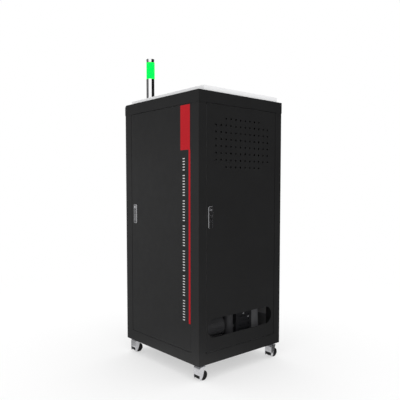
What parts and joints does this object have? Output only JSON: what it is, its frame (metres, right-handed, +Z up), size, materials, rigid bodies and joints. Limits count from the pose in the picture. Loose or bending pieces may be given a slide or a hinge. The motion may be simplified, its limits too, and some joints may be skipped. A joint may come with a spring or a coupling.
{
  "type": "plasma cleaner",
  "caption": "Tall black sheet-metal plasma cleaner cabinet on swivel castors, with a vented rear door over a vacuum pump, a white top slab and a green signal lamp.",
  "frame": {"origin": "on the floor, at the middle of the whole object's outline seen from above", "axes": "+Z up, the operator front with the chamber door faces -Y, the vented rear door faces +Y, the side door faces +X"},
  "size_m": [0.6334, 0.72, 1.753],
  "materials": {
    "black_powder": "fine-textured matte black powder coat",
    "white_slab": "smooth satin white enamel",
    "lamp_chrome": "polished chrome",
    "green_lens": "lit green moulded lens",
    "zinc_plate": "bright zinc plate",
    "handle_black": "satin black die casting",
    "button_chrome": "polished chrome",
    "castor_tyre": "black moulded nylon tread",
    "fan_plastic": "black moulded plastic",
    "chamber_aluminium": "fine-milled bare aluminium",
    "seal_rubber": "black rubber",
    "window_glass": "clear borosilicate glass",
    "stop_red": "red moulded plastic",
    "start_green": "green moulded plastic",
    "pump_paint": "satin black pump enamel",
    "filter_grey": "mid-grey enamel",
    "line_steel": "stainless tube"
  },
  "bodies": {
    "cabinet": {"base_pan": "black_powder", "castor_plates": "zinc_plate", "chamber_body": "chamber_aluminium", "chamber_deck": "zinc_plate", "chamber_hinges": "zinc_plate", "chamber_seal": "seal_rubber", "control_collars": "fan_plastic", "front_lower_panel": "black_powder", "front_panel": "black_powder", "generator": "filter_grey", "lamp_end": "lamp_chrome", "lamp_lens": "green_lens", "lamp_tube": "lamp_chrome", "left_panel": "black_powder", "left_rail": "black_powder", "mist_filter": "filter_grey", "oil_canister": "filter_grey", "post_front_left": "black_powder", "post_front_right": "black_powder", "post_rear_left": "black_powder", "post_rear_right": "black_powder", "product_tray": "chamber_aluminium", "pump_casing": "pump_paint", "pump_feet": "seal_rubber", "pump_motor": "pump_paint", "rear_door_pivots": "zinc_plate", "side_door_pivots": "zinc_plate", "top_cap": "black_powder", "touch_screen": "fan_plastic", "vacuum_line": "line_steel", "white_slab": "white_slab"},
    "side_door": {"side_door": "black_powder", "side_door_frame": "black_powder", "side_handle_case": "handle_black"},
    "side_lever": {"side_handle_lever": "handle_black"},
    "side_button": {"side_handle_button": "button_chrome"},
    "side_cam": {"side_latch_cam": "zinc_plate"},
    "rear_door": {"rear_door": "black_powder", "rear_door_frame": "black_powder", "rear_handle_case": "handle_black", "vent_plate": "black_powder", "fan_housing": "fan_plastic"},
    "rear_lever": {"rear_handle_lever": "handle_black"},
    "rear_button": {"rear_handle_button": "button_chrome"},
    "rear_cam": {"rear_latch_cam": "zinc_plate"},
    "fan_rotor": {"fan_rotor": "fan_plastic"},
    "chamber_door": {"chamber_door": "chamber_aluminium", "chamber_window": "window_glass"},
    "chamber_latch": {"chamber_latch": "button_chrome"},
    "emergency_stop": {"emergency_stop": "stop_red"},
    "start_button": {"start_button": "start_green"},
    "castor_fork_front_left": {"castor_fork_front_left": "zinc_plate"},
    "castor_wheel_front_left": {"castor_wheel_front_left": "castor_tyre"},
    "castor_fork_front_right": {"castor_fork_front_right": "zinc_plate"},
    "castor_wheel_front_right": {"castor_wheel_front_right": "castor_tyre"},
    "castor_fork_rear_left": {"castor_fork_rear_left": "zinc_plate"},
    "castor_wheel_rear_left": {"castor_wheel_rear_left": "castor_tyre"},
    "castor_fork_rear_right": {"castor_fork_rear_right": "zinc_plate"},
    "castor_wheel_rear_right": {"castor_wheel_rear_right": "castor_tyre"}
  },
  "joints": [
    {"name": "side_door_hinge", "type": "hinge", "parent": "cabinet", "child": "side_door", "pos_m": [0.30375, 0.27905, 0.147], "axis": [0, 0, 1], "range_deg": [0, 110]},
    {"name": "side_lever_lift", "type": "hinge", "parent": "side_door", "child": "side_lever", "pos_m": [0.30925, -0.21395, 0.8043], "axis": [0, 1, 0], "range_deg": [0, 40]},
    {"name": "side_button_push", "type": "slide", "parent": "side_door", "child": "side_button", "axis": [-1, 0, 0], "range_m": [0, 0.003], "stiffness_N_per_m": 300},
    {"name": "side_cam_turn", "type": "hinge", "parent": "side_door", "child": "side_cam", "pos_m": [0.29275, -0.21395, 0.846], "axis": [1, 0, 0], "range_deg": [0, 90]},
    {"name": "rear_door_hinge", "type": "hinge", "parent": "cabinet", "child": "rear_door", "pos_m": [-0.24925, 0.34705, 0.147], "axis": [0, 0, 1], "range_deg": [0, 110]},
    {"name": "rear_lever_lift", "type": "hinge", "parent": "rear_door", "child": "rear_lever", "pos_m": [0.23275, 0.35255, 0.8043], "axis": [-1, 0, 0], "range_deg": [0, 40]},
    {"name": "rear_button_push", "type": "slide", "parent": "rear_door", "child": "rear_button", "axis": [0, -1, 0], "range_m": [0, 0.003], "stiffness_N_per_m": 300},
    {"name": "rear_cam_turn", "type": "hinge", "parent": "rear_door", "child": "rear_cam", "pos_m": [0.23275, 0.33605, 0.846], "axis": [0, 1, 0], "range_deg": [0, 90]},
    {"name": "fan_spin", "type": "hinge", "parent": "rear_door", "child": "fan_rotor", "pos_m": [-0.00175, 0.33505, 1.2255], "axis": [0, 1, 0], "continuous": true},
    {"name": "chamber_door_hinge", "type": "hinge", "parent": "cabinet", "child": "chamber_door", "pos_m": [-0.20175, -0.32545, 0.97], "axis": [0, 0, -1], "range_deg": [0, 110]},
    {"name": "chamber_latch_turn", "type": "hinge", "parent": "chamber_door", "child": "chamber_latch", "pos_m": [0.16225, -0.34375, 0.97], "axis": [0, 1, 0], "range_deg": [0, 90]},
    {"name": "emergency_stop_push", "type": "slide", "parent": "cabinet", "child": "emergency_stop", "axis": [0, 1, 0], "range_m": [0, 0.004], "stiffness_N_per_m": 400},
    {"name": "start_button_push", "type": "slide", "parent": "cabinet", "child": "start_button", "axis": [0, 1, 0], "range_m": [0, 0.004], "stiffness_N_per_m": 400},
    {"name": "castor_swivel_front_left", "type": "hinge", "parent": "cabinet", "child": "castor_fork_front_left", "pos_m": [-0.27875, -0.27745, 0.0735], "axis": [0, 0, 1], "continuous": true},
    {"name": "castor_roll_front_left", "type": "hinge", "parent": "castor_fork_front_left", "child": "castor_wheel_front_left", "pos_m": [-0.28875, -0.27745, 0.026], "axis": [0, 1, 0], "continuous": true},
    {"name": "castor_swivel_front_right", "type": "hinge", "parent": "cabinet", "child": "castor_fork_front_right", "pos_m": [0.27525, -0.27745, 0.0735], "axis": [0, 0, 1], "continuous": true},
    {"name": "castor_roll_front_right", "type": "hinge", "parent": "castor_fork_front_right", "child": "castor_wheel_front_right", "pos_m": [0.26525, -0.27745, 0.026], "axis": [0, 1, 0], "continuous": true},
    {"name": "castor_swivel_rear_left", "type": "hinge", "parent": "cabinet", "child": "castor_fork_rear_left", "pos_m": [-0.27875, 0.31855, 0.0735], "axis": [0, 0, 1], "continuous": true},
    {"name": "castor_roll_rear_left", "type": "hinge", "parent": "castor_fork_rear_left", "child": "castor_wheel_rear_left", "pos_m": [-0.28875, 0.31855, 0.026], "axis": [0, 1, 0], "continuous": true},
    {"name": "castor_swivel_rear_right", "type": "hinge", "parent": "cabinet", "child": "castor_fork_rear_right", "pos_m": [0.27525, 0.31855, 0.0735], "axis": [0, 0, 1], "continuous": true},
    {"name": "castor_roll_rear_right", "type": "hinge", "parent": "castor_fork_rear_right", "child": "castor_wheel_rear_right", "pos_m": [0.26525, 0.31855, 0.026], "axis": [0, 1, 0], "continuous": true}
  ],
  "couplings": [
    {"joint": "side_cam_turn", "follows": "side_lever_lift", "ratio": 2.25},
    {"joint": "rear_cam_turn", "follows": "rear_lever_lift", "ratio": 2.25}
  ]
}
